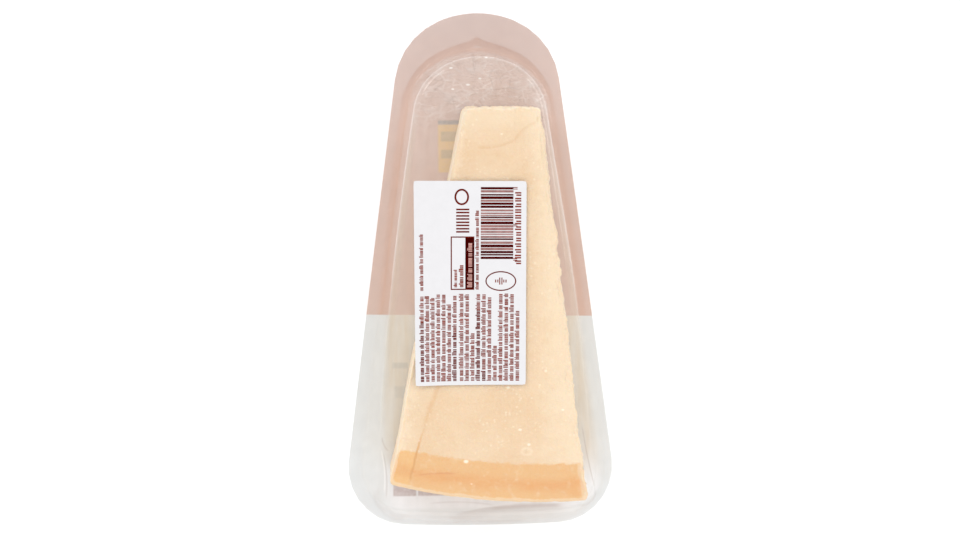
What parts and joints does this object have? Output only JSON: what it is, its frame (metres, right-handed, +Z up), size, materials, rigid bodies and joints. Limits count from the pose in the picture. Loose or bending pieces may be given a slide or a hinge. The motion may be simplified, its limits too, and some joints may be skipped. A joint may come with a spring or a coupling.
{
  "type": "packed grana padano wedge",
  "caption": "Wedge of hard grating cheese with a rind, sealed in a clear moulded tray under a printed lid film, lying film down with its back label up.",
  "frame": {"origin": "on the floor, under the middle of the pack's bounding box, at the underside of the lid film", "axes": "+Y towards the narrow, rounded end of the pack; +Z up, out of the floor of the tray, where the back label is; +X to the right of someone who reads the picture"},
  "size_m": [0.094, 0.1824, 0.0417],
  "materials": {
    "clear_plastic": "clear, glossy, thin thermoformed sheet",
    "printed_film": "thin film printed in a muted pink-brown and an off-white field",
    "cheese": "pale straw, fine grained, slightly waxy, with a golden rind",
    "label_paper": "smooth white paper with a dark brown print"
  },
  "bodies": {
    "root": {"lid_film": "printed_film", "tray": "clear_plastic", "cheese": "cheese", "back_label": "label_paper"}
  },
  "joints": []
}
